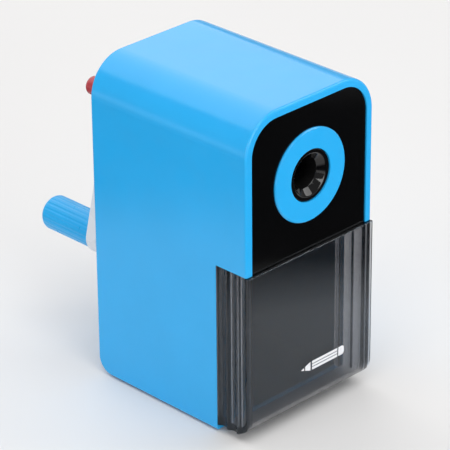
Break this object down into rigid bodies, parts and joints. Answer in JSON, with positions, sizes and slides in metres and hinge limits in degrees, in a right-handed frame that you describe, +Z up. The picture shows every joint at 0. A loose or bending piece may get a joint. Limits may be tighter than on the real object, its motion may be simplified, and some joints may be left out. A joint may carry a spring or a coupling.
{
  "type": "pencil sharpener",
  "caption": "Hand-crank desktop pencil sharpener with a round-topped blue shell, black front panel, ringed pencil mouth and a smoked clear shavings drawer.",
  "frame": {"origin": "on the desk, under the middle of the shell", "axes": "+Z up, the pencil mouth and drawer face -Y, the crank is at +Y, +X to the right seen from the front"},
  "size_m": [0.0604, 0.1168, 0.12],
  "materials": {
    "shell_blue": "glossy moulded blue plastic",
    "panel_black": "high gloss black plastic",
    "bezel_black": "satin black plastic",
    "handle_blue": "satin blue plastic",
    "arm_white": "satin white plastic",
    "knob_red": "glossy red plastic",
    "drawer_smoke": "smoked clear plastic, polished",
    "chassis_grey": "fine matt moulded plastic",
    "gear_nylon": "natural acetal, smooth",
    "carrier_zinc": "die-cast zinc, satin",
    "steel": "turned steel",
    "cutter_steel": "ground hardened steel",
    "screw_steel": "zinc-plated steel",
    "bush_brass": "turned brass",
    "pad_rubber": "matt black rubber"
  },
  "bodies": {
    "housing": {"shell": "shell_blue", "base_pad": "pad_rubber", "front_panel": "panel_black", "front_ring": "shell_blue", "entry_bezel": "bezel_black", "gear_barrel": "chassis_grey", "rear_bearing_plate": "chassis_grey", "plate_screws": "screw_steel", "rear_screws": "screw_steel", "rear_bush": "bush_brass", "rear_collar": "bezel_black", "chute_deck": "chassis_grey", "ring_gear": "gear_nylon"},
    "crank": {"cutter_carrier": "carrier_zinc", "cutter_axle": "steel", "axle_clip": "steel", "crank_shaft": "steel", "shaft_clip": "steel", "thrust_washer": "gear_nylon", "crank_arm": "arm_white", "arm_screw": "screw_steel", "handle_pin": "steel", "push_nut": "steel"},
    "cutter": {"helical_cutter": "cutter_steel", "cutter_pinion": "gear_nylon"},
    "handle": {"handle_grip": "handle_blue", "handle_cap": "handle_blue"},
    "knob": {"adjuster_knob": "knob_red", "snap_ring": "steel"},
    "point_stop": {"stop_rod": "steel", "stop_tip": "bush_brass"},
    "drawer": {"drawer_bin": "drawer_smoke"}
  },
  "joints": [
    {"name": "crank_spin", "type": "hinge", "parent": "housing", "child": "crank", "pos_m": [0, 0, 0.0912], "axis": [0, 1, 0], "continuous": true},
    {"name": "cutter_spin", "type": "hinge", "parent": "crank", "child": "cutter", "pos_m": [0, 0.03806, 0.0912], "axis": [0, 0.9816, -0.1908], "continuous": true},
    {"name": "handle_spin", "type": "hinge", "parent": "crank", "child": "handle", "pos_m": [-0.01177, 0.0634, 0.04219], "axis": [0, 1, 0], "continuous": true},
    {"name": "knob_turn", "type": "hinge", "parent": "crank", "child": "knob", "pos_m": [0, 0.0614, 0.0912], "axis": [0, 1, 0], "range_deg": [-150, 150]},
    {"name": "stop_slide", "type": "slide", "parent": "crank", "child": "point_stop", "axis": [0, 1, 0], "range_m": [-0.00083, 0.00083]},
    {"name": "drawer_slide", "type": "slide", "parent": "housing", "child": "drawer", "axis": [0, -1, 0], "range_m": [0, 0.055]}
  ],
  "couplings": [
    {"joint": "cutter_spin", "follows": "crank_spin", "ratio": -3},
    {"joint": "knob_turn", "follows": "stop_slide", "rad_per_m": 3141.6}
  ]
}
